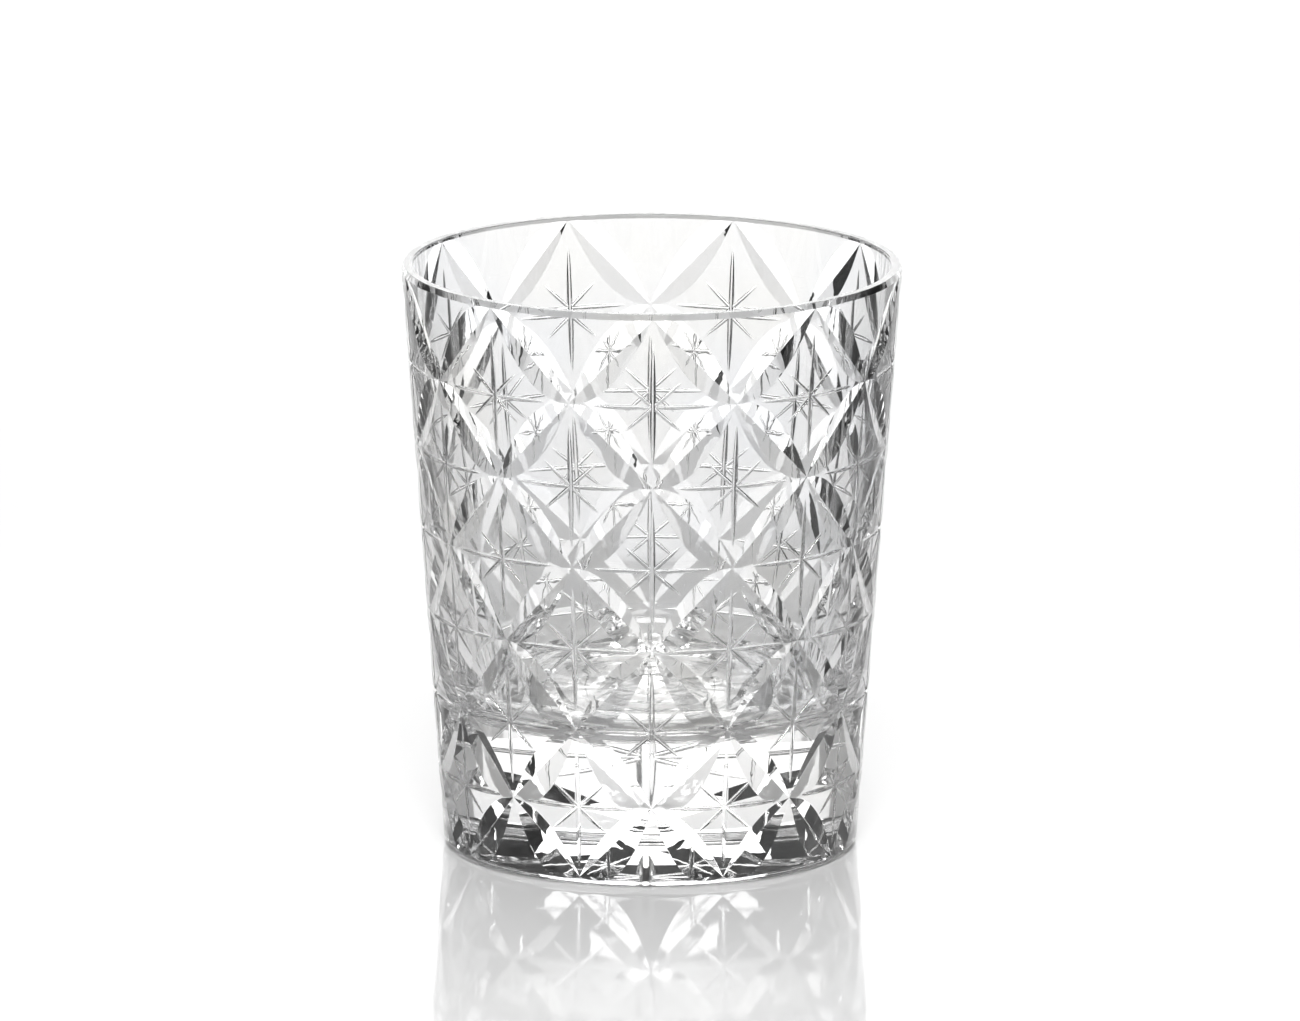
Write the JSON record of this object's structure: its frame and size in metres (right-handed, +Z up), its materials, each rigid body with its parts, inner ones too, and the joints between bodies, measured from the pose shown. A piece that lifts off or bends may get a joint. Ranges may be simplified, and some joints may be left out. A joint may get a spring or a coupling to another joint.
{
  "type": "whiskey tumbler",
  "caption": "Straight-sided cut-glass whiskey tumbler with a thick base, flaring slightly to a thin rim, its wall cut with a diamond lattice of leaf grooves and eight-rayed stars.",
  "frame": {"origin": "centre of the foot, in the plane the glass stands on", "axes": "+Z up along the axis of the glass, from the foot to the rim; a column of lattice knots that starts at the rim faces -Y"},
  "size_m": [0.0844, 0.0844, 0.1],
  "materials": {
    "crystal": "clear polished crystal"
  },
  "bodies": {
    "root": {"tumbler": "crystal"}
  },
  "joints": []
}
